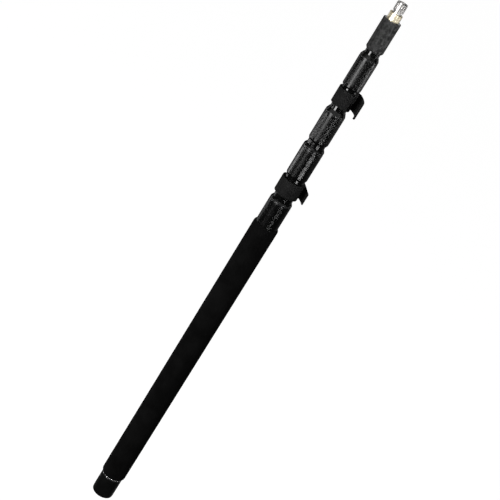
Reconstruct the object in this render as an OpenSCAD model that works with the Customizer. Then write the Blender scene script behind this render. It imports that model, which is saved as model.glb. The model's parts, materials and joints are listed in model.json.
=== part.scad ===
// Five-section telescoping boom pole, collapsed.
// The pole's axis is Z, with its butt face at z = 0 and its threaded stud at the top.
// The cable clips reach towards +X and their channels open towards -Y.
// Every section slides along +Z, and every collar turns about Z.

/* [Grip and butt] */
// Outer diameter of the foam grip
grip_d = 40; // [38.5:0.5:46]
// Height of the grip's lower end
grip_bottom = 40.4; // [30:0.1:60]
// Height of the grip's upper end
grip_top = 546.5; // [500:0.5:575]
// Outer diameter of the butt cap
cap_d = 35.3; // [34:0.1:38]
// Thickness of the butt cap's floor
cap_floor = 6; // [3:0.5:7]
// Height of the thin ring between the cap and the grip
cap_ring_h = 2.2; // [1:0.1:6]

/* [Tubes] */
// Outer diameter of the base tube
base_tube_d = 32.2; // [31.8:0.1:32.6]
// Wall of every tube
tube_wall = 0.8; // [0.7:0.05:0.85]
// Radial gap between one tube's bore and the next tube
tube_gap = 0.5; // [0.5:0.05:0.6]
// Travel of sections 2, 3, 4 and 5
travel = [470, 525, 560, 575]; // [1:1:575]

/* [Locks] */
// Height of the top face of collars 1 to 4
lock_top = [592, 684, 745, 835]; // [590:1:835]
// Length of a collar, from its lower lip to its top face
collar_len = 52; // [45:0.5:52]
// Diameter of collar 1
collar_d = 35; // [34.9:0.1:35.2]
// How much smaller each collar is than the one below
collar_step = 2.1; // [2:0.05:2.2]
// Wall of the rubber sleeve on a collar
sleeve_wall = 0.6; // [0.5:0.05:0.7]
// Height of the conical nose on the two upper collars
nose_h = 2.4; // [1.5:0.1:4.8]

/* [Cable clips] */
// Height of the lower face of clips 1 and 2
clip_bottom = [601.5, 755]; // [598:0.5:755]
// Length of a clip along the pole
clip_len = 25; // [20:0.5:27]
// Wall of clip 1's ring and of clip 2's ring
clip_wall = [3.5, 2.9]; // [2.5:0.1:3.6]
// How far each clip's tail reaches from the pole's axis
clip_reach = [28.9, 31]; // [26:0.1:32]
// Turn of each clip about the pole's axis
clip_turn = [9, -24]; // [-90:1:90]
// Thickness of a clip's tail
tail_wall = 2.8; // [2:0.1:3]

/* [Head] */
// Diameter of the head sleeve
head_d = 26.6; // [26.2:0.1:27]
// Height of the head's lower end
head_bottom = 843.5; // [840.5:0.1:844]
// Height of the head's top face
head_top = 892; // [889:0.5:894]
// Diameter of the brass collar
stud_collar_d = 18.8; // [17:0.1:20]
// Height of the brass collar
stud_collar_h = 11; // [8:0.5:14]
// Major diameter of the tip thread, 5/8 inch by 27 threads
stud_d = 15.75; // [15.66:0.01:15.84]
// Height of the stud above the brass collar
stud_h = 16; // [12:0.5:20]

/* [Hidden] */
$fn = 96;
run_fit = 0.05;          // radial clearance of a running fit
free_gap = 0.35;         // radial gap between parts that never touch
stop_gap = 0.2;          // gap left at a landing face
stop_margin = 0.5;       // gap left at full travel
tube_pitch = tube_wall + tube_gap;

cap_top = grip_bottom - cap_ring_h;
cap_ring_r = cap_d / 2 + 0.25;
plug_bottom = cap_floor + 2;
plug_top = 56;
plug_bore_r = 4;
bumper_h = 6;
bumper_r = 15;
grip_lower_edge = 3.6;
grip_upper_edge = 1.8;
grip_upper_edge_h = 4;

tube_end_drop = 10;      // a tube ends this far below its collar's top face
collet_head_drop = 7.3;  // top of the collet below the collar's top face
collet_foot_drop = 22;   // bottom of the collet below the collar's top face
collet_slit = 1.4;
ring_h = 4;              // height of a collar's end ring
ring_spigot_h = 3;
groove_h = 0.8;          // groove between sleeve and end ring
lip_h = 2;               // inward lip at the sleeve's lower end
lip_chamfer_h = 2.4;
mouth_h = 2.2;           // depth of the open mouth in the two lower collars
rim_drop = 2.6;          // a collar's end ring narrows from this far below its top
rim_in = 1.5;            // how much the two lower end rings narrow
rim_rise = [0, 1.6];     // how far the two lower end rings stand above the collar's top face
nose_lip = 0.6;          // flat left at the tip of a nose

bush_flange_h = 3;
bush_sleeve_h = 20;
bush_lip = 2.5;          // how far a bush's landing lip reaches past the tube's bore
stop_ring_h = 12;
stop_ring_t = tube_gap - 0.1;

core_spigot_h = 31;
core_flange_r = 11.6;
tube_5_top = head_top - 16;
bolt_r = 4.76;           // 3/8 inch core
bolt_bottom = head_top - 24;
stud_neck_r = 6.8;
stud_neck_h = 3;
stud_chamfer = 1;
screw_r = 2;
screw_z = head_top - 8;
screw_angles = [60, 120];

clip_slit = 3;
clip_slit_angle = 135;
clip_clear = 5;          // how far the shapes that cut a clip reach past it
tail_start = 85;         // angle at which the tail leaves the ring
tail_end = -8;           // angle of the tail's free end
tail_steps = 24;
tail_drop = [0, 1.5];    // the tail starts this far below each clip's ring
tail_point = [1.5, 3.2]; // the free end's corner dips this far below the ring
tail_slope = [8, 4];     // the tail's upper edge falls this far on its way out
tail_round = [3.5, 5];   // radius of the tail's upper corner
round_steps = 8;

foam_black = [0.035, 0.035, 0.035];
cap_black = [0.09, 0.09, 0.10];
tube_black = [0.04, 0.04, 0.045];
rubber_black = [0.13, 0.13, 0.13];
ring_black = [0.07, 0.07, 0.07];
nylon_grey = [0.75, 0.74, 0.70];
clip_black = [0.10, 0.10, 0.10];
bright_metal = [0.78, 0.78, 0.80];
brass_gold = [0.85, 0.68, 0.38];

// Outer radius of tube n, where 1 is the base tube.
function tube_r(n) = base_tube_d / 2 - (n - 1) * tube_pitch;
// Outer radius of collar n.
function collar_r(n) = (collar_d - (n - 1) * collar_step) / 2;
// Height of the landing face under tube n's guide bush.
function bush_z(n) = plug_top + bumper_h + stop_gap + (n - 2) * (bush_flange_h + stop_gap);
function tube_bottom(n) = bush_z(n) + bush_flange_h;
function tube_top(n) = n == 5 ? tube_5_top : lock_top[n - 1] - tube_end_drop;
// Top of tube n's stop ring, which meets the collet below after the full travel.
function stop_z(n) = lock_top[n - 2] - collet_foot_drop - travel[n - 2] - stop_margin;

// A round piece turned about Z from points [radius, height].
module turned(points) {
    rotate_extrude() polygon(points);
}

// A plain ring between two radii and two heights.
module ring(r_in, r_out, z0, z1) {
    turned([[r_in, z0], [r_out, z0], [r_out, z1], [r_in, z1]]);
}

module base_tube() {
    color(tube_black) ring(tube_r(1) - tube_wall, tube_r(1), cap_floor, tube_top(1));
}

// The grip's upper end laps over the lower lip of collar 1.
module foam_grip() {
    r = grip_d / 2;
    inner = tube_r(1);
    recess_r = collar_r(1) + free_gap;
    recess_z = lock_top[0] - collar_len - 1.4;
    color(foam_black) turned([
        [inner, grip_bottom],
        [r - grip_lower_edge, grip_bottom],
        [r - grip_lower_edge * 0.3, grip_bottom + grip_lower_edge * 0.3],
        [r, grip_bottom + grip_lower_edge],
        [r, grip_top - grip_upper_edge_h],
        [r - grip_upper_edge * 0.3, grip_top - grip_upper_edge_h * 0.4],
        [r - grip_upper_edge, grip_top],
        [recess_r, grip_top],
        [recess_r, recess_z],
        [inner, recess_z]
    ]);
}

module end_cap() {
    r = cap_d / 2;
    edge = 1.6;
    color(cap_black) turned([
        [0, 0],
        [r - edge, 0],
        [r - edge * 0.3, edge * 0.3],
        [r, edge],
        [r, cap_top],
        [tube_r(1), cap_top],
        [tube_r(1), cap_floor],
        [0, cap_floor]
    ]);
}

module end_cap_ring() {
    color(bright_metal) ring(tube_r(1), cap_ring_r, cap_top, grip_bottom);
}

module end_plug() {
    color(nylon_grey) ring(plug_bore_r, tube_r(1) - tube_wall, plug_bottom, plug_top);
}

module bottom_bumper() {
    color(ring_black) ring(plug_bore_r, bumper_r, plug_top, plug_top + bumper_h);
}

// Threaded sleeve of collar n, which turns on the end of tube n.
module collar_nut(n) {
    top = lock_top[n - 1];
    color(tube_black)
        ring(tube_r(n) + run_fit, collar_r(n) - sleeve_wall, top - collar_len + lip_h, top - ring_h);
}

// Rubber sleeve of collar n, with an inward lip under the nut.
module collar_grip(n) {
    top = lock_top[n - 1];
    z = top - collar_len;
    r = collar_r(n);
    lip_r = tube_r(n) + free_gap;
    color(rubber_black) turned([
        [lip_r, z],
        [lip_r + 0.1, z],
        [r, z + lip_chamfer_h],
        [r, top - ring_h - groove_h],
        [r - sleeve_wall, top - ring_h - groove_h],
        [r - sleeve_wall, z + lip_h],
        [lip_r, z + lip_h]
    ]);
}

// End ring of collar n: an open mouth on collars 1 and 2, a conical nose on 3 and 4.
module collar_ring(n) {
    top = lock_top[n - 1];
    r = collar_r(n) - 0.1;
    bore = tube_r(n + 1) + free_gap;
    spigot_r = tube_r(n) + run_fit;
    skirt = [[bore, top - ring_h - ring_spigot_h], [spigot_r, top - ring_h - ring_spigot_h],
        [spigot_r, top - ring_h], [r, top - ring_h]];
    rim = top + (n <= 2 ? rim_rise[n - 1] : nose_h);
    mouth = [[r, rim - rim_drop], [r - rim_in, rim], [r - rim_in - 0.4, rim], [bore, rim - mouth_h]];
    nose = [[r, top - rim_drop], [bore + nose_lip, rim], [bore, rim]];
    color(ring_black) turned(concat(skirt, n <= 2 ? mouth : nose));
}

// Split nylon ring of lock n, whose spigot reaches into the mouth of tube n.
module collet(n) {
    top = lock_top[n - 1];
    bore = tube_r(n + 1) + run_fit;
    seat = top - tube_end_drop + 0.15;
    color(nylon_grey) difference() {
        turned([
            [bore, top - collet_foot_drop],
            [tube_r(n) - tube_wall - run_fit, top - collet_foot_drop],
            [tube_r(n) - tube_wall - run_fit, seat],
            [tube_r(n) - 0.1, seat],
            [tube_r(n) - 0.1, top - collet_head_drop],
            [bore, top - collet_head_drop]
        ]);
        translate([0, -collet_slit / 2, top - collet_foot_drop - 1])
            cube([base_tube_d, collet_slit, collet_foot_drop]);
    }
}

module section_tube(n) {
    color(tube_black) ring(tube_r(n) - tube_wall, tube_r(n), tube_bottom(n), tube_top(n));
}

// Nylon bush on the lower end of tube n, with the lip on which the next section lands.
module guide_bush(n) {
    r = tube_r(n);
    z = bush_z(n);
    color(nylon_grey) turned([
        [r - tube_wall - bush_lip, z],
        [r + tube_gap - run_fit, z],
        [r + tube_gap - run_fit, z + bush_flange_h + bush_sleeve_h],
        [r, z + bush_flange_h + bush_sleeve_h],
        [r, z + bush_flange_h],
        [r - tube_wall - bush_lip, z + bush_flange_h]
    ]);
}

module stop_ring(n) {
    color(nylon_grey) ring(tube_r(n), tube_r(n) + stop_ring_t, stop_z(n) - stop_ring_h, stop_z(n));
}

// Outer radius of clip n's tail at an angle: a spiral that leaves the ring and widens.
function tail_r(n, angle) =
    let (ring_r = clip_ring_r(n), part = (tail_start - angle) / (tail_start - tail_end))
    ring_r + (clip_reach[n - 1] - ring_r) * part;
function clip_ring_r(n) = tube_r(2 * n) + clip_wall[n - 1];
function polar(r, angle) = [r * cos(angle), r * sin(angle)];
function tail_angle(i) = tail_start - (tail_start - tail_end) * i / tail_steps;

// The tail seen along the pole.
module tail_outline(n) {
    outer = [for (i = [0 : tail_steps]) polar(tail_r(n, tail_angle(i)), tail_angle(i))];
    inner = [for (i = [tail_steps : -1 : 0]) polar(tail_r(n, tail_angle(i)) - tail_wall, tail_angle(i))];
    polygon(concat(outer, inner));
}

// The tail seen from the front: a dipped lower corner and a rounded upper one.
module tail_side(n) {
    reach = clip_reach[n - 1] + 1;
    ring_r = clip_ring_r(n);
    corner_r = tail_round[n - 1];
    corner = [for (i = [0 : round_steps])
        [reach - corner_r, clip_len - tail_slope[n - 1] - corner_r] + polar(corner_r, 90 * i / round_steps)];
    polygon(concat([[0, 0], [ring_r, -tail_drop[n - 1]], [reach, -tail_point[n - 1]]], corner,
        [[ring_r - 3, clip_len], [0, clip_len]]));
}

module cable_clip(n) {
    ring_r = clip_ring_r(n);
    bore = tube_r(2 * n) + run_fit;
    color(clip_black) translate([0, 0, clip_bottom[n - 1]]) rotate([0, 0, clip_turn[n - 1]]) {
        difference() {
            union() {
                cylinder(r = ring_r, h = clip_len);
                intersection() {
                    translate([0, 0, -clip_clear]) linear_extrude(height = clip_len + 2 * clip_clear)
                        tail_outline(n);
                    translate([0, 50, 0]) rotate([90, 0, 0]) linear_extrude(height = 100) tail_side(n);
                }
            }
            translate([0, 0, -clip_clear - 1]) cylinder(r = bore, h = clip_len + 2 * clip_clear + 2);
            rotate([0, 0, clip_slit_angle]) translate([0, -clip_slit / 2, -1])
                cube([ring_r + clip_clear, clip_slit, clip_len + 2]);
        }
    }
}

// Solid metal core in the end of tube 5, drilled for the tip bolt.
module head_core() {
    spigot_r = tube_r(5) - tube_wall;
    color(bright_metal) difference() {
        turned([
            [0, tube_5_top - core_spigot_h],
            [spigot_r, tube_5_top - core_spigot_h],
            [spigot_r, tube_5_top],
            [core_flange_r, tube_5_top],
            [core_flange_r, head_top],
            [0, head_top]
        ]);
        translate([0, 0, bolt_bottom]) cylinder(r = bolt_r, h = head_top);
        screw_blanks();
    }
}

module head_sleeve() {
    r = head_d / 2;
    lip_r = tube_r(5);
    color(rubber_black) difference() {
        turned([
            [lip_r, head_bottom],
            [lip_r + 0.6, head_bottom],
            [r, head_bottom + lip_chamfer_h],
            [r, head_top - 0.4],
            [r - 0.4, head_top],
            [core_flange_r, head_top],
            [core_flange_r, tube_5_top],
            [lip_r, tube_5_top]
        ]);
        screw_blanks();
    }
}

module screw_blanks(inset = 0) {
    for (angle = screw_angles)
        rotate([0, 0, angle]) translate([core_flange_r - 3, 0, screw_z]) rotate([0, 90, 0])
            cylinder(r = screw_r, h = head_d / 2 - core_flange_r + 3 + 1 - inset);
}

// Two set screws, sunk just under the head's surface.
module head_screws() {
    socket_r = 1.1;
    color(ring_black) difference() {
        screw_blanks(1.4);
        for (angle = screw_angles)
            rotate([0, 0, angle]) translate([core_flange_r, 0, screw_z]) rotate([0, 90, 0])
                cylinder(r = socket_r, h = 5, $fn = 6);
    }
}

module stud_collar() {
    r = stud_collar_d / 2;
    top = head_top + stud_collar_h;
    color(brass_gold) turned([
        [bolt_r, head_top],
        [r, head_top],
        [r, top - 0.6],
        [r - 0.6, top],
        [bolt_r, top]
    ]);
}

module tip_bolt() {
    color(bright_metal) translate([0, 0, bolt_bottom])
        cylinder(r = bolt_r, h = head_top + stud_collar_h + stud_h - 1 - bolt_bottom);
}

module tip_stud() {
    r = stud_d / 2;
    z = head_top + stud_collar_h;
    color(bright_metal) turned([
        [bolt_r, z],
        [stud_neck_r, z],
        [stud_neck_r, z + stud_neck_h],
        [r, z + stud_neck_h],
        [r, z + stud_h - stud_chamfer],
        [r - stud_chamfer, z + stud_h],
        [bolt_r, z + stud_h]
    ]);
}

base_tube();
foam_grip();
end_cap();
end_cap_ring();
end_plug();
bottom_bumper();
collar_nut(1);  // collar_nut_1
collar_nut(2);  // collar_nut_2
collar_nut(3);  // collar_nut_3
collar_nut(4);  // collar_nut_4
collar_grip(1);  // collar_grip_1
collar_grip(2);  // collar_grip_2
collar_grip(3);  // collar_grip_3
collar_grip(4);  // collar_grip_4
collar_ring(1);  // collar_ring_1
collar_ring(2);  // collar_ring_2
collar_ring(3);  // collar_ring_3
collar_ring(4);  // collar_ring_4
collet(1);  // collet_1
collet(2);  // collet_2
collet(3);  // collet_3
collet(4);  // collet_4
section_tube(2);  // tube_2
section_tube(3);  // tube_3
section_tube(4);  // tube_4
section_tube(5);  // tube_5
guide_bush(2);  // guide_bush_2
guide_bush(3);  // guide_bush_3
guide_bush(4);  // guide_bush_4
guide_bush(5);  // guide_bush_5
stop_ring(2);  // stop_ring_2
stop_ring(3);  // stop_ring_3
stop_ring(4);  // stop_ring_4
stop_ring(5);  // stop_ring_5
cable_clip(1);  // cable_clip_1
cable_clip(2);  // cable_clip_2
head_core();
head_sleeve();
head_screws();
stud_collar();
tip_bolt();
tip_stud();
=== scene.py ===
import json
import bpy
from math import atan2, cos, hypot, pi, radians, sin, tau
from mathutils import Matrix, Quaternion, Vector


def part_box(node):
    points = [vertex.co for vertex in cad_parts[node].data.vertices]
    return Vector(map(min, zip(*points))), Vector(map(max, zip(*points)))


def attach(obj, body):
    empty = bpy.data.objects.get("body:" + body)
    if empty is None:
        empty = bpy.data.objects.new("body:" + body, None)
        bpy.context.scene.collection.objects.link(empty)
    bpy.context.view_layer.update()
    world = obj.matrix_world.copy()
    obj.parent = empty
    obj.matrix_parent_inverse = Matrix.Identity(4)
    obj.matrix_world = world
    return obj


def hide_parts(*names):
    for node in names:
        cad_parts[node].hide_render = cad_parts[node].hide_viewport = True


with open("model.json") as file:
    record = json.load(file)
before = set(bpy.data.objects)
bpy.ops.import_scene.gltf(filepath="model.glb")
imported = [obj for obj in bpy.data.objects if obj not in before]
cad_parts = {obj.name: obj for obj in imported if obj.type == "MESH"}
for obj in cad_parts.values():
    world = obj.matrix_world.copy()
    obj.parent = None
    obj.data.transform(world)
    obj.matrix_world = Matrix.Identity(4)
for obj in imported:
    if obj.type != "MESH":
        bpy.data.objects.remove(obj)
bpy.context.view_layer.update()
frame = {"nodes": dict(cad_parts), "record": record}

mm = 0.001
bodyOfTube = {1: "grip_section", 2: "section_2", 3: "section_3", 4: "section_4", 5: "section_5"}

# Camera: level with the middle of the pole, looking down on it and rolled so that it leans
shot = {"aimHeight": 0.498, "sideways": -0.0012, "distance": 1.854, "elevation": 23.5, "lens": 91.4,
        "roll": 31.65}

bpy.ops.object.camera_add()
camera = bpy.context.object
camera.name = "camera"
back = Vector((0, -cos(radians(shot["elevation"])), sin(radians(shot["elevation"]))))
camera.location = Vector((shot["sideways"], 0, shot["aimHeight"])) + back * shot["distance"]
camera.rotation_mode = "QUATERNION"
camera.rotation_quaternion = (back.to_track_quat("Z", "Y")
                              @ Quaternion((0, 0, 1), radians(shot["roll"])))
camera.data.lens = shot["lens"]
camera.data.sensor_width = 36
camera.data.clip_end = 100
bpy.context.scene.camera = camera
bpy.context.scene.view_settings.view_transform = "Standard"
print("camera placed")


# Shader maths: a Wire is one socket, and sums on wires add Math nodes
class Wire:
    def __init__(self, paint, socket):
        self.paint = paint
        self.socket = socket

    def maths(self, operation, first, second):
        return self.paint.node("ShaderNodeMath", {"operation": operation}, {0: first, 1: second})

    def __add__(self, other):
        return self.maths("ADD", self, other)

    def __radd__(self, other):
        return self.maths("ADD", other, self)

    def __sub__(self, other):
        return self.maths("SUBTRACT", self, other)

    def __rsub__(self, other):
        return self.maths("SUBTRACT", other, self)

    def __mul__(self, other):
        return self.maths("MULTIPLY", self, other)

    def __rmul__(self, other):
        return self.maths("MULTIPLY", other, self)


class Paint:
    def __init__(self, name, **constants):
        self.material = bpy.data.materials.new(name)
        self.material.use_nodes = True
        self.tree = self.material.node_tree
        self.shader = self.tree.nodes["Principled BSDF"]
        self.place = self.node("ShaderNodeTexCoord", output="Object")
        for socket, value in constants.items():
            self.shader.inputs[socket.replace("_", " ")].default_value = value

    def node(self, kind, settings=None, inputs=None, output=0):
        made = self.tree.nodes.new(kind)
        for key, value in (settings or {}).items():
            setattr(made, key, value)
        for key, value in (inputs or {}).items():
            self.feed(made.inputs[key], value)
        return Wire(self, made.outputs[output])

    def feed(self, socket, value):
        if isinstance(value, Wire):
            self.tree.links.new(value.socket, socket)
        else:
            socket.default_value = value

    def stretched(self, x, y, z):
        return self.node("ShaderNodeMapping", inputs={"Vector": self.place, "Scale": (x, y, z)})

    def noise(self, scale, detail=2.0, where=None):
        return self.node("ShaderNodeTexNoise", inputs={
            "Vector": where or self.place, "Scale": scale, "Detail": detail})

    def cells(self, scale, where=None):
        return self.node("ShaderNodeTexVoronoi", inputs={
            "Vector": where or self.place, "Scale": scale}, output="Distance")

    def spread(self, value, fromLow, fromHigh, toLow=0.0, toHigh=1.0):
        return self.node("ShaderNodeMapRange", inputs={
            "Value": value, "From Min": fromLow, "From Max": fromHigh,
            "To Min": toLow, "To Max": toHigh}, output="Result")

    def blend(self, amount, first, second):
        return self.node("ShaderNodeMix", {"data_type": "RGBA"},
                         {0: amount, 6: (*first, 1), 7: (*second, 1)}, output=2)

    def dress(self, colour=None, roughness=None, height=None, depth=0.00005, strength=1.0):
        if colour:
            self.feed(self.shader.inputs["Base Color"], colour)
        if roughness:
            self.feed(self.shader.inputs["Roughness"], roughness)
        if height:
            self.feed(self.shader.inputs["Normal"], self.node("ShaderNodeBump", inputs={
                "Strength": strength, "Distance": depth, "Height": height}, output="Normal"))
        return self.material


def grey(value, warmth=0.0):
    return (value * (1 + warmth), value, value * (1 - warmth))


def foamFinish():
    look = {"dark": 0.0003, "light": 0.0042, "cell": 2300, "patch": 38}
    paint = Paint("foam", Specular_IOR_Level=0.05, Roughness=1.0)
    pores = paint.cells(look["cell"])
    grain = paint.noise(900, 3)
    patches = paint.spread(paint.noise(look["patch"], 4), 0.38, 0.66)
    colour = paint.blend(patches * 0.7 + pores * 0.6, grey(look["dark"]), grey(look["light"]))
    return paint.dress(colour, None, pores * 0.7 + grain * 0.6, 0.00012, 0.9)


def tubeFinish():
    look = {"base": 0.0025, "worn": 0.012, "polish": 0.09, "scuffed": 0.15}
    paint = Paint("black_tube", Specular_IOR_Level=0.4)
    lines = paint.spread(paint.noise(1, 2, paint.stretched(2600, 2600, 14)), 0.62, 0.74)
    rubbed = paint.spread(paint.noise(1, 3, paint.stretched(70, 70, 420)), 0.56, 0.72)
    handled = paint.spread(paint.noise(26, 4), 0.45, 0.7)
    wear = lines * 0.35 + rubbed * 0.25
    colour = paint.blend(wear, grey(look["base"]), grey(look["worn"]))
    roughness = look["polish"] + (wear * 0.6 + handled * 0.4) * (look["scuffed"] - look["polish"])
    return paint.dress(colour, roughness, lines * 0.4 + paint.noise(600, 2) * 0.15, 0.000006, 0.5)


def mouldedFinish(name, base, grainSize, roughness, relief=0.00002, sheen=0.35, spread=0.5):
    # satin moulded plastic or rubber: fine spark grain, faint flow clouds and rubbed spots
    paint = Paint(name, Specular_IOR_Level=sheen)
    grain = paint.noise(grainSize, 3)
    clouds = paint.noise(60, 4)
    rubbed = paint.spread(paint.noise(210, 5), 0.55, 0.75)
    colour = paint.blend(clouds * 0.6 + rubbed * 0.5, grey(base * (1 - spread)), grey(base * (1 + spread)))
    rough = paint.spread(clouds * 0.5 + grain * 0.5, 0.3, 0.7, roughness - 0.07, roughness + 0.08)
    return paint.dress(colour, rough - rubbed * 0.06, grain + rubbed * 0.2, relief, 0.8)


def speckledFinish():
    # the head's rubber: pale specks of cork-like grain in a dark sleeve
    look = {"dark": 0.008, "light": 0.064, "speck": 1500}
    paint = Paint("head_rubber", Specular_IOR_Level=0.14)
    specks = paint.spread(paint.cells(look["speck"]), 0.12, 0.55, 1.0, 0.0)
    grain = paint.noise(2200, 4)
    clouds = paint.spread(paint.noise(1, 4, paint.stretched(260, 260, 190)), 0.36, 0.64)
    amount = specks * paint.spread(grain, 0.4, 0.62) * 0.5 + clouds * 0.7 - 0.08
    colour = paint.blend(amount, grey(look["dark"]), grey(look["light"]))
    rough = paint.spread(grain, 0.3, 0.7, 0.5, 0.72)
    return paint.dress(colour, rough, grain + specks * 0.5, 0.00006, 0.8)


def turnedMetal(name, colour, roughness, metallic=1.0, stain=0.8, ringScale=5200):
    # lathe rings run round the axis, over slow stains and small handling marks
    paint = Paint(name, Metallic=metallic)
    rings = paint.noise(1, 1, paint.stretched(60, 60, ringScale))
    stains = paint.spread(paint.noise(190, 4), 0.4, 0.7)
    nicks = paint.spread(paint.noise(1500, 2), 0.68, 0.76)
    shade = paint.blend(stains * 0.8, colour, tuple(part * stain for part in colour))
    rough = roughness + stains * 0.07 + rings * 0.05 + nicks * 0.15
    return paint.dress(shade, rough, rings - nicks * 0.8, 0.000006, 0.5)


finishes = {
    "black_tube": tubeFinish(),
    "foam": foamFinish(),
    "cap_plastic": mouldedFinish("cap_plastic", 0.0025, 3600, 0.34),
    "bright_ring": turnedMetal("bright_ring", (0.78, 0.78, 0.79), 0.2),
    "nylon": mouldedFinish("nylon", 0.5, 2400, 0.48, spread=0.08),
    "rubber_pad": mouldedFinish("rubber_pad", 0.02, 2000, 0.7),
    "nut_metal": turnedMetal("nut_metal", (0.02, 0.02, 0.022), 0.3, 0.0),
    "collar_rubber": mouldedFinish("collar_rubber", 0.0028, 3000, 0.2, 0.000005, sheen=0.22),
    "ring_plastic": mouldedFinish("ring_plastic", 0.0025, 3600, 0.24, 0.000008, sheen=0.3),
    "clip_plastic": mouldedFinish("clip_plastic", 0.015, 2600, 0.62, 0.00003, sheen=0.03),
    "core_metal": turnedMetal("core_metal", (0.5, 0.5, 0.51), 0.32),
    "head_rubber": speckledFinish(),
    "screw_steel": turnedMetal("screw_steel", (0.06, 0.06, 0.065), 0.35, 1.0),
    "brass": turnedMetal("brass", (0.94, 0.84, 0.62), 0.27, stain=0.92),
    "stud_steel": turnedMetal("stud_steel", (0.70, 0.69, 0.68), 0.16, stain=0.85),
}
print("finishes mixed:", len(finishes))


def roundCorners(corners, steps=4):
    # corners are (radius, height) or (radius, height, rounding), in millimetres; a long side
    # gets one more point beside each rounding, so that its shading stays flat
    longSide, besideRounding = 2.5, 1.4
    points = []
    for i, corner in enumerate(corners):
        here = Vector(corner[:2])
        rounding = corner[2] if len(corner) > 2 else 0
        if not rounding:
            points.append(here)
            continue
        before = Vector(corners[i - 1][:2]) - here
        after = Vector(corners[(i + 1) % len(corners)][:2]) - here
        first = here + before.normalized() * rounding
        last = here + after.normalized() * rounding
        if before.length > longSide * rounding:
            points.append(here + before.normalized() * rounding * besideRounding)
        for step in range(steps + 1):
            t = step / steps
            points.append(first * (1 - t) ** 2 + here * 2 * t * (1 - t) + last * t * t)
        if after.length > longSide * rounding:
            points.append(here + after.normalized() * rounding * besideRounding)
    return points


def drawOutline(name, points):
    # a plane is merged to one point, which is then pulled along the outline
    bpy.ops.object.select_all(action="DESELECT")
    bpy.ops.mesh.primitive_plane_add(size=mm, location=points[0])
    piece = bpy.context.object
    piece.name = name
    piece.data.name = name
    bpy.ops.object.transform_apply(location=True, rotation=True, scale=True)
    bpy.ops.object.mode_set(mode="EDIT")
    bpy.ops.mesh.select_mode(type="VERT")
    bpy.ops.mesh.select_all(action="SELECT")
    bpy.ops.mesh.merge(type="CENTER")
    for start, end in zip(points, points[1:]):
        bpy.ops.mesh.extrude_vertices_move(TRANSFORM_OT_translate={"value": end - start})
    return piece


def weld():
    bpy.ops.mesh.select_all(action="SELECT")
    bpy.ops.mesh.remove_doubles(threshold=2e-6)


def closeUp():
    weld()
    bpy.ops.mesh.normals_make_consistent(inside=False)
    bpy.ops.object.mode_set(mode="OBJECT")


def turnPiece(name, corners, closed=True, segments=96):
    outline = [Vector((x * mm, 0, z * mm)) for x, z in roundCorners(corners)]
    if closed:
        outline.append(outline[0].copy())
    piece = drawOutline(name, outline)
    bpy.ops.mesh.select_all(action="SELECT")
    bpy.ops.mesh.spin(steps=segments, angle=tau, center=(0, 0, 0), axis=(0, 0, 1))
    closeUp()
    return piece


def drawSlab(name, points, pull):
    # a closed outline is filled and pulled into a solid
    slab = drawOutline(name, points + [points[0]])
    weld()
    bpy.ops.mesh.edge_face_add()
    bpy.ops.mesh.extrude_region_move(TRANSFORM_OT_translate={"value": pull})
    closeUp()
    return slab


def pickPoints(piece, wanted):
    # selects the points for which wanted(radius, angle, height) is true
    bpy.ops.object.select_all(action="DESELECT")
    bpy.context.view_layer.objects.active = piece
    piece.select_set(True)
    mesh = piece.data
    for part in (mesh.polygons, mesh.edges):
        part.foreach_set("select", [False] * len(part))
    for point in mesh.vertices:
        x, y, z = point.co / mm
        point.select = wanted(hypot(x, y), atan2(y, x) % tau, z)
    bpy.ops.object.mode_set(mode="EDIT")
    bpy.ops.mesh.select_mode(type="VERT")


def applyModifier(piece, kind, **settings):
    bpy.ops.object.select_all(action="DESELECT")
    bpy.context.view_layer.objects.active = piece
    piece.select_set(True)
    modifier = piece.modifiers.new(kind.lower(), kind)
    for key, value in settings.items():
        setattr(modifier, key, value)
    bpy.ops.object.modifier_apply(modifier=modifier.name)


def cutAway(piece, cutter, operation="DIFFERENCE"):
    applyModifier(piece, "BOOLEAN", object=cutter, operation=operation, solver="EXACT")
    bpy.data.objects.remove(cutter)
    bpy.ops.object.mode_set(mode="EDIT")
    bpy.ops.mesh.select_all(action="SELECT")
    bpy.ops.mesh.dissolve_degenerate(threshold=2e-6)
    closeUp()


def finishPiece(piece, slot, body, *nodes, angle=35):
    bpy.ops.object.select_all(action="DESELECT")
    bpy.context.view_layer.objects.active = piece
    piece.select_set(True)
    bpy.ops.object.shade_smooth_by_angle(angle=radians(angle))
    piece.data.materials.clear()
    piece.data.materials.append(finishes[slot])
    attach(piece, body)
    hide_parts(*nodes)


def sizeOf(node):
    # outer radius, lowest and highest point of a round CAD node, in millimetres
    low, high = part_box(node)
    return round(high.x / mm, 2), round(low.z / mm, 2), round(high.z / mm, 2)


# Butt cap, with a shallow dish under it, and the bright ring above it
butt = {"edge": 1.4, "dishRadius": 11.5, "dishDepth": 0.8, "bandHeight": 4.5, "bandInset": 0.25}
baseRadius = sizeOf("base_tube")[0]

radius, bottom, top = sizeOf("end_cap")
floorHeight = sizeOf("base_tube")[1]
cap = turnPiece("end_cap_moulding", [
    (0, bottom + butt["dishDepth"]),
    (butt["dishRadius"], bottom + butt["dishDepth"], 0.3),
    (butt["dishRadius"] + 0.5, bottom, 0.2),
    (radius - butt["edge"], bottom, 0.3),
    (radius - 0.35, bottom + butt["edge"] * 0.6, 0.5),
    (radius, bottom + butt["bandHeight"], 0.3),
    (radius, top - 0.5, 0.2),
    (radius - 0.5, top, 0.2),
    (baseRadius + 0.02, top),
    (baseRadius + 0.02, floorHeight),
    (0, floorHeight)], closed=False)
finishPiece(cap, "cap_plastic", "grip_section", "end_cap")

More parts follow.
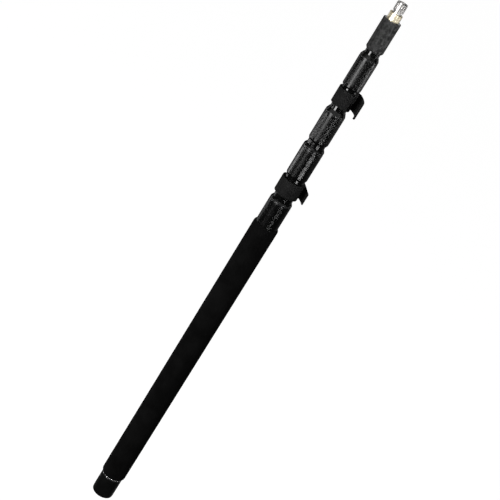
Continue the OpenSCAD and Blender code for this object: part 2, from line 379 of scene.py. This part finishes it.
radius, bottom, top = sizeOf("end_cap_ring")
trim = turnPiece("end_cap_trim", [
    (baseRadius + 0.02, bottom),
    (radius, bottom, 0.3),
    (radius, top, 0.3),
    (baseRadius + 0.02, top)])
finishPiece(trim, "bright_ring", "grip_section", "end_cap_ring")

# Foam grip: one long sleeve with soft ends, slightly uneven along its length
foam = {"ringEvery": 4.0, "lowerEdge": 3.4, "upperEdge": (1.8, 4.2), "unevenness": 0.00022}

radius, bottom, top = sizeOf("foam_grip")
lipRadius = sizeOf("collar_grip_1")[0] + 0.35
recessBottom = sizeOf("collar_grip_1")[1] - 1.4
outer = radius - 0.1
side = [(outer, bottom + foam["lowerEdge"] + 1 + i * foam["ringEvery"])
        for i in range(int((top - bottom - 12) / foam["ringEvery"]))]
inset, drop = foam["upperEdge"]
sleeve = turnPiece("foam_sleeve", [
    (baseRadius, bottom),
    (outer - foam["lowerEdge"], bottom),
    (outer - foam["lowerEdge"] * 0.62, bottom + foam["lowerEdge"] * 0.1),
    (outer - foam["lowerEdge"] * 0.29, bottom + foam["lowerEdge"] * 0.32),
    (outer - foam["lowerEdge"] * 0.08, bottom + foam["lowerEdge"] * 0.64),
    (outer, bottom + foam["lowerEdge"])] + side + [
    (outer, top - drop),
    (outer - inset * 0.1, top - drop * 0.62),
    (outer - inset * 0.35, top - drop * 0.28),
    (outer - inset * 0.7, top - drop * 0.08),
    (outer - inset, top),
    (lipRadius, top),
    (lipRadius, recessBottom),
    (baseRadius, recessBottom)])
clouds = bpy.data.textures.new("foam_clouds", "CLOUDS")
clouds.noise_scale = 0.02
pickPoints(sleeve, lambda r, angle, z: r > lipRadius + 0.5 and bottom + 1 < z < top - 0.5)
bpy.ops.object.vertex_group_assign_new()
bpy.ops.object.mode_set(mode="OBJECT")
applyModifier(sleeve, "DISPLACE", texture=clouds, texture_coords="GLOBAL", mid_level=0.5,
              strength=foam["unevenness"], vertex_group=sleeve.vertex_groups[0].name)
finishPiece(sleeve, "foam", "grip_section", "foam_grip", angle=60)
print("grip made")

# Tubes, polished all the way down so that they can be drawn out
tube = {"lip": 0.15}
for number in (1, 2, 3, 4, 5):
    node = "base_tube" if number == 1 else f"tube_{number}"
    radius, bottom, top = sizeOf(node)
    inner = radius - 0.8
    pipe = turnPiece(node + "_skin", [
        (inner, bottom, tube["lip"]), (radius, bottom, tube["lip"]),
        (radius, top, tube["lip"]), (inner, top, tube["lip"])], segments=128)
    finishPiece(pipe, "black_tube", bodyOfTube[number], node)
print("tubes made")

# Twist-lock collars: ribbed rubber sleeve, nut and end ring
collar = {"ribs": 72, "ribColumns": 8, "ribDepth": 0.065, "ribEnd": 0.6, "lowBand": 6.5,
          "highBand": 3.2, "lip": 2.4, "lipFloor": 2.0, "gap": 0.35, "threadGap": 0.05, "spigot": 3.0,
          "rimDrop": 2.6, "rimIn": 1.5, "rimWidth": 0.4, "mouthDrop": 2.2, "coneDrop": 5.0, "coneLip": 0.6}
ribColumns = collar["ribColumns"]

for number in (1, 2, 3, 4):
    body = f"collar_{number}"
    radius, bottom, top = sizeOf(f"collar_grip_{number}")
    nutRadius, nutBottom, nutTop = sizeOf(f"collar_nut_{number}")
    bore = sizeOf("base_tube" if number == 1 else f"tube_{number}")[0]
    lipRadius = bore + collar["gap"]
    ribLow, ribHigh = bottom + collar["lowBand"], top - collar["highBand"]
    rubber = turnPiece(f"collar_sleeve_{number}", [
        (lipRadius, bottom, 0.08),
        (lipRadius + collar["gap"], bottom, 0.2),
        (radius, bottom + collar["lip"], 0.5),
        (radius, ribLow), (radius, ribLow + collar["ribEnd"]),
        (radius, ribHigh - collar["ribEnd"]), (radius, ribHigh),
        (radius, top, 0.5),
        (nutRadius, top),
        (nutRadius, bottom + collar["lipFloor"]),
        (lipRadius, bottom + collar["lipFloor"])], segments=collar["ribs"] * ribColumns)
    pickPoints(rubber, lambda r, angle, z: (
        r > radius - 0.05
        and ribLow + collar["ribEnd"] / 2 < z < ribHigh - collar["ribEnd"] / 2
        and round(angle / tau * collar["ribs"] * ribColumns) % ribColumns == 0))
    shrink = 1 - collar["ribDepth"] / radius
    bpy.ops.transform.resize(value=(shrink, shrink, 1), center_override=(0, 0, 0))
    bpy.ops.object.mode_set(mode="OBJECT")
    finishPiece(rubber, "collar_rubber", body, f"collar_grip_{number}", angle=20)

    threadRadius = bore + collar["threadGap"]
    nut = turnPiece(f"collar_nut_turned_{number}", [
        (threadRadius, nutBottom), (nutRadius, nutBottom, 0.1),
        (nutRadius, nutTop, 0.1), (threadRadius, nutTop)])
    finishPiece(nut, "nut_metal", body, f"collar_nut_{number}")

    radius, bottom, top = sizeOf(f"collar_ring_{number}")
    nextRadius = sizeOf(f"tube_{number + 1}")[0]
    inner = nextRadius + collar["gap"]
    shoulder = bottom + collar["spigot"]
    skirt = [(inner, bottom, 0.1), (threadRadius, bottom, 0.1), (threadRadius, shoulder),
             (radius, shoulder, 0.35)]
    if number <= 2:
        shape = skirt + [
            (radius, top - collar["rimDrop"], 0.6), (radius - collar["rimIn"], top, 0.18),
            (radius - collar["rimIn"] - collar["rimWidth"], top, 0.12),
            (inner, top - collar["mouthDrop"], 0.2)]
    else:
        shape = skirt + [
            (radius, top - collar["coneDrop"], 0.6), (inner + collar["coneLip"], top, 0.25),
            (inner, top, 0.2)]
    ring = turnPiece(f"collar_end_ring_{number}", shape)
    finishPiece(ring, "ring_plastic", body, f"collar_ring_{number}")
print("collars made")

# Cable clips: a split ring with a tail that curls round to hold a cable
clip = {"slit": 3.0, "slitAngle": 135, "tailStart": 85, "tailEnd": -8, "tailWall": 2.8,
        "reach": {1: 28.9, 2: 31.0}, "turn": {1: 9, 2: -24}, "drop": {1: 0.0, 2: 1.5},
        "point": {1: 1.5, 2: 3.2}, "slope": {1: 8.0, 2: 4.0}, "corner": {1: 3.5, 2: 5.0},
        "edge": 0.55, "rise": 25.0, "ringWall": {1: 3.45, 2: 2.85}, "trim": 4.0, "stock": 40.0,
        "cutterWidth": 100.0, "cutterBack": -40.0}


def clipOutline(innerRadius, outerRadius, reach):
    # anticlockwise list of points round the C-shaped section, in millimetres
    def at(distance, degrees):
        return Vector((distance * cos(radians(degrees)), distance * sin(radians(degrees)), 0))

    def tailRadius(degrees):
        part = (clip["tailStart"] - degrees) / (clip["tailStart"] - clip["tailEnd"])
        return outerRadius + (reach - outerRadius) * part

    def arc(distance, first, last, step=4):
        count = max(1, round(abs(last - first) / step))
        return [at(distance, first + (last - first) * i / count) for i in range(count + 1)]

    halfOut = clip["slit"] / 2 / outerRadius * 180 / pi
    halfIn = clip["slit"] / 2 / innerRadius * 180 / pi
    slitAngle, start, end, wall = (clip[key] for key in ("slitAngle", "tailStart", "tailEnd", "tailWall"))
    notch = start - (start - end) * (wall + 0.15) / (reach - outerRadius)
    tailCount = 24
    outside = [start + (end - start) * i / tailCount for i in range(tailCount + 1)]
    inside = [end + (notch - end) * i / tailCount for i in range(tailCount + 1)]
    points = arc(outerRadius, slitAngle - halfOut, start)[:-1]
    points += [at(tailRadius(degrees), degrees) for degrees in outside[:-1]]
    # the tail's end is a half round
    middle, half = tailRadius(end) - wall / 2, wall / 2
    tip = at(middle, end)
    points += [tip + at(half, end - turn) for turn in (0, 30, 60, 90, 120, 150)]
    points += [at(tailRadius(degrees) - wall, degrees) for degrees in inside]
    points += arc(outerRadius, notch - 3, slitAngle - 360 + halfOut)
    points += arc(innerRadius, slitAngle - 360 + halfIn, slitAngle - halfIn)
    return points


def tailSide(number, reach, ringRadius):
    # side view of the clip as a cutter, from the axis outwards: (x, z) in millimetres
    far, rise, corner = reach + 1, clip["rise"], clip["corner"][number]
    low = rise - clip["slope"][number] - corner
    rounded = [(far - corner + corner * sin(a * pi / 20), low + corner * cos(a * pi / 20))
               for a in range(11)]
    return [(clip["cutterBack"], 0), (0, 0), (ringRadius, -clip["drop"][number]),
            (far, -clip["point"][number]), *reversed(rounded),
            (ringRadius - 3, rise), (clip["cutterBack"], rise)]


for number, tubeNumber in ((1, 2), (2, 4)):
    node = f"cable_clip_{number}"
    innerRadius = sizeOf(f"tube_{tubeNumber}")[0] + 0.05
    low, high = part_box(node)
    base = high.z / mm - clip["rise"]
    outerRadius = innerRadius + clip["ringWall"][number]
    reach = clip["reach"][number]
    outline = [point * mm + Vector((0, 0, (base - clip["trim"]) * mm))
               for point in clipOutline(innerRadius, outerRadius, reach)]
    holder = drawSlab(f"cable_clip_moulding_{number}", outline, (0, 0, clip["stock"] * mm))
    side = [Vector((x, -clip["cutterWidth"] / 2, z + base)) * mm
            for x, z in tailSide(number, reach, outerRadius)]
    cutter = drawSlab("clip_cutter", side, (0, clip["cutterWidth"] * mm, 0))
    cutAway(holder, cutter, "INTERSECT")
    applyModifier(holder, "BEVEL", width=clip["edge"] * mm, segments=3, limit_method="ANGLE",
                  angle_limit=radians(35), harden_normals=False)
    holder.rotation_euler.z = radians(clip["turn"][number])
    bpy.ops.object.select_all(action="DESELECT")
    holder.select_set(True)
    bpy.context.view_layer.objects.active = holder
    bpy.ops.object.transform_apply(location=True, rotation=True, scale=True)
    finishPiece(holder, "clip_plastic", f"clip_{number}", node)
print("clips made")

# Head: speckled sleeve on a metal core, brass collar, threaded stud and bolt
head = {"rim": 0.5, "lip": 2.4, "screwRadius": 2.0, "threadPitch": 25.4 / 27, "threadDepth": 0.53,
        "overrun": 3.0, "neck": 3.0, "neckDepth": 0.55, "chamfer": 1.0, "socketAcross": 4.0,
        "socketDepth": 4.0}

radius, bottom, top = sizeOf("head_sleeve")
coreRadius = 11.6
tubeRadius, tubeBottom, tubeTop = sizeOf("tube_5")
sleeve = turnPiece("head_sleeve_moulding", [
    (tubeRadius, bottom), (tubeRadius + 0.6, bottom, 0.2), (radius, bottom + head["lip"], 0.5),
    (radius, top - 12), (radius, top - 4),
    (radius, top, head["rim"]), (coreRadius, top),
    (coreRadius, tubeTop), (tubeRadius, tubeTop)])
screwLow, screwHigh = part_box("head_screws")
screwHeight = (screwLow.z + screwHigh.z) / 2
for degrees in (60, 120):
    bpy.ops.object.select_all(action="DESELECT")
    reach = Vector((cos(radians(degrees)), sin(radians(degrees)), 0))
    bpy.ops.mesh.primitive_cylinder_add(
        vertices=32, radius=head["screwRadius"] * mm, depth=6 * mm,
        location=reach * (radius - 1) * mm + Vector((0, 0, screwHeight)),
        rotation=(0, pi / 2, radians(degrees)))
    cutAway(sleeve, bpy.context.object)
finishPiece(sleeve, "head_rubber", "section_5", "head_sleeve")

radius, bottom, top = sizeOf("stud_collar")
boltRadius, boltBottom, boltTop = sizeOf("tip_bolt")
brass = turnPiece("stud_collar_turned", [
    (boltRadius, bottom), (radius - 0.3, bottom), (radius, bottom + 0.3),
    (radius, top - 0.6, 0.1), (radius - 0.6, top, 0.1), (boltRadius, top)])
finishPiece(brass, "brass", "section_5", "stud_collar")

# the thread is one tooth, screwed up the axis and cut square at both ends
radius, bottom, top = sizeOf("tip_stud")
pitch, depth, overrun = head["threadPitch"], head["threadDepth"], head["overrun"]
threadBottom = bottom + head["neck"]
turns = int((top - bottom + 2 * overrun) / pitch) + 2
tooth = [(radius - depth, 0), (radius - depth, pitch * 0.12), (radius, pitch * 0.5),
         (radius, pitch * 0.62), (radius - depth, pitch)]
thread = drawOutline("thread", [Vector((x, 0, z + bottom - overrun)) * mm for x, z in tooth])
bpy.ops.object.mode_set(mode="OBJECT")
applyModifier(thread, "SCREW", axis="Z", angle=tau, screw_offset=pitch * mm, iterations=turns, steps=48)
bpy.ops.object.mode_set(mode="EDIT")
weld()
for height, upper in ((bottom - 1, False), (top + 1, True)):
    bpy.ops.mesh.select_all(action="SELECT")
    bpy.ops.mesh.bisect(plane_co=(0, 0, height * mm), plane_no=(0, 0, 1), use_fill=True,
                        clear_outer=upper, clear_inner=not upper)
closeUp()
neckRadius = radius - depth - head["neckDepth"]
stud = turnPiece("tip_stud_threaded", [
    (boltRadius, bottom), (neckRadius, bottom), (neckRadius, threadBottom, 0.2),
    (radius - depth, threadBottom), (radius + 0.2, threadBottom + 0.5),
    (radius + 0.2, top - head["chamfer"] * 0.7), (radius - head["chamfer"], top), (boltRadius, top)],
    segments=64)
cutAway(stud, thread, "INTERSECT")
finishPiece(stud, "stud_steel", "section_5", "tip_stud", angle=30)

bolt = turnPiece("tip_bolt_turned", [
    (0, boltBottom), (boltRadius - 0.4, boltBottom), (boltRadius, boltBottom + 0.4),
    (boltRadius, boltTop - 0.5, 0.15), (boltRadius - 0.5, boltTop, 0.1), (0, boltTop)],
    closed=False, segments=64)
bpy.ops.object.select_all(action="DESELECT")
bpy.ops.mesh.primitive_cylinder_add(
    vertices=6, radius=head["socketAcross"] / 2 / cos(pi / 6) * mm, depth=2 * head["socketDepth"] * mm,
    location=(0, 0, boltTop * mm))
cutAway(bolt, bpy.context.object)
finishPiece(bolt, "stud_steel", "section_5", "tip_bolt")
print("head made")

# Inner parts keep their CAD shape and get their finishes
for part in frame["record"]["subparts"]:
    node = frame["nodes"][part["node"]]
    if not node.hide_render:
        node.data.materials.clear()
        node.data.materials.append(finishes[part["material_slot"]])

# Floor and light
stage = {"floorDrop": 0.12, "floorWhite": 0.2, "floorGlow": 0.97, "skyGlossy": 0.02, "backdrop": 0.12,
         "skySoft": 0.12, "highestAim": 0.9}
# turn is in degrees from the front towards +X, and rise is a lamp's upright side
lamps = {
    "left_box": {"turn": -31, "distance": 1.5, "height": 0.58, "width": 0.62, "rise": 0.66, "radiance": 15},
    "left_low": {"turn": -102, "distance": 1.5, "height": 0.15, "width": 0.5, "rise": 0.07, "radiance": 16},
    "left_mid": {"turn": -78, "distance": 1.5, "height": 0.265, "width": 0.6, "rise": 0.06, "radiance": 16},
    "left_edge": {"turn": -120, "distance": 1.5, "height": 0.6, "width": 0.3, "rise": 1.4, "radiance": 1.5},
    "right_low": {"turn": 38, "distance": 1.5, "height": 0.142, "width": 0.8, "rise": 0.04, "radiance": 50},
    "right_mid": {"turn": 92, "distance": 1.5, "height": 0.43, "width": 0.6, "rise": 0.06, "radiance": 20},
    "rear_edge": {"turn": 128, "distance": 1.6, "height": 0.75, "width": 0.4, "rise": 1.0, "radiance": 0.8},
    "high_front": {"turn": 0, "distance": 1.9, "height": 1.15, "width": 1.5, "rise": 1.4, "radiance": 1.2},
    "high_left": {"turn": -46, "distance": 1.9, "height": 1.15, "width": 1.7, "rise": 1.4, "radiance": 1.1},
    "high_right": {"turn": 46, "distance": 1.9, "height": 1.15, "width": 1.7, "rise": 1.4, "radiance": 1.3},
    "high_rear": {"turn": 180, "distance": 1.6, "height": 1.6, "width": 1.4, "rise": 0.5, "radiance": 1.0},
    "overhead": {"turn": -20, "distance": 1.0, "height": 2.3, "width": 1.2, "rise": 0.8, "radiance": 6},
    "left_fill": {"turn": -40, "distance": 1.1, "height": 0.42, "width": 0.6, "rise": 0.4, "radiance": 13},
    "head_fill": {"turn": 62, "distance": 0.35, "height": 1.0, "width": 0.12, "rise": 0.12, "radiance": 34},
}
# these light the matt surfaces only, and all the others are only mirrored
softOnly = ("left_fill", "head_fill")


def addLamp(name, location, aim, width, rise, watts):
    bpy.ops.object.light_add(type="AREA", location=location)
    lamp = bpy.context.object
    lamp.name = name
    lamp.data.shape = "RECTANGLE"
    lamp.data.size = width
    lamp.data.size_y = rise
    lamp.data.energy = watts
    lamp.rotation_euler = (Vector(aim) - Vector(location)).to_track_quat("-Z", "Y").to_euler()
    lamp.visible_camera = False
    return lamp


for name, lamp in lamps.items():
    turn = radians(lamp["turn"])
    place = Vector((sin(turn) * lamp["distance"], -cos(turn) * lamp["distance"], lamp["height"]))
    aim = (0, 0, min(lamp["height"], stage["highestAim"]))
    lit = addLamp(name, place, aim, lamp["width"], lamp["rise"],
                  lamp["radiance"] * pi * lamp["width"] * lamp["rise"])
    lit.visible_diffuse = name in softOnly
    lit.visible_glossy = name not in softOnly

bpy.ops.mesh.primitive_plane_add(size=60, location=(0, 0, -stage["floorDrop"]))
floor = bpy.context.object
floor.name = "floor"
floor.visible_glossy = False
floor.visible_diffuse = False
paint = Paint("floor_paint", Roughness=0.9, Emission_Strength=stage["floorGlow"])
paint.shader.inputs["Emission Color"].default_value = (1, 1, 1, 1)
paint.dress(paint.blend(paint.noise(3, 2), grey(stage["floorWhite"]), grey(stage["floorWhite"] - 0.01)))
floor.data.materials.append(paint.material)

world = bpy.data.worlds.new("studio")
bpy.context.scene.world = world
world.use_nodes = True
sky = world.node_tree
path = sky.nodes.new("ShaderNodeLightPath")
where = sky.nodes.new("ShaderNodeTexCoord")
axes = sky.nodes.new("ShaderNodeSeparateXYZ")
sky.links.new(where.outputs["Generated"], axes.inputs[0])
behind = sky.nodes.new("ShaderNodeMapRange")      # pale behind and below, dark elsewhere
below = sky.nodes.new("ShaderNodeMapRange")
for ramp, axis, fromLow, fromHigh in ((behind, "Y", 0.2, 0.5), (below, "Z", -0.02, -0.1)):
    ramp.inputs["From Min"].default_value = fromLow
    ramp.inputs["From Max"].default_value = fromHigh
    sky.links.new(axes.outputs[axis], ramp.inputs["Value"])
both = sky.nodes.new("ShaderNodeMath")
both.operation = "MULTIPLY"
sky.links.new(behind.outputs["Result"], both.inputs[0])
sky.links.new(below.outputs["Result"], both.inputs[1])
backdrop = sky.nodes.new("ShaderNodeMapRange")
backdrop.inputs["To Min"].default_value = stage["skyGlossy"]
backdrop.inputs["To Max"].default_value = stage["backdrop"]
sky.links.new(both.outputs[0], backdrop.inputs["Value"])
soft = sky.nodes.new("ShaderNodeMix")
soft.inputs[2].default_value = stage["skySoft"]
sky.links.new(backdrop.outputs["Result"], soft.inputs[3])
sky.links.new(path.outputs["Is Glossy Ray"], soft.inputs[0])
seen = sky.nodes.new("ShaderNodeMix")
seen.inputs[3].default_value = 1.0
sky.links.new(path.outputs["Is Camera Ray"], seen.inputs[0])
sky.links.new(soft.outputs[0], seen.inputs[2])
sky.links.new(seen.outputs[0], sky.nodes["Background"].inputs["Strength"])
sky.nodes["Background"].inputs["Color"].default_value = (1, 1, 1, 1)
print("stage lit")
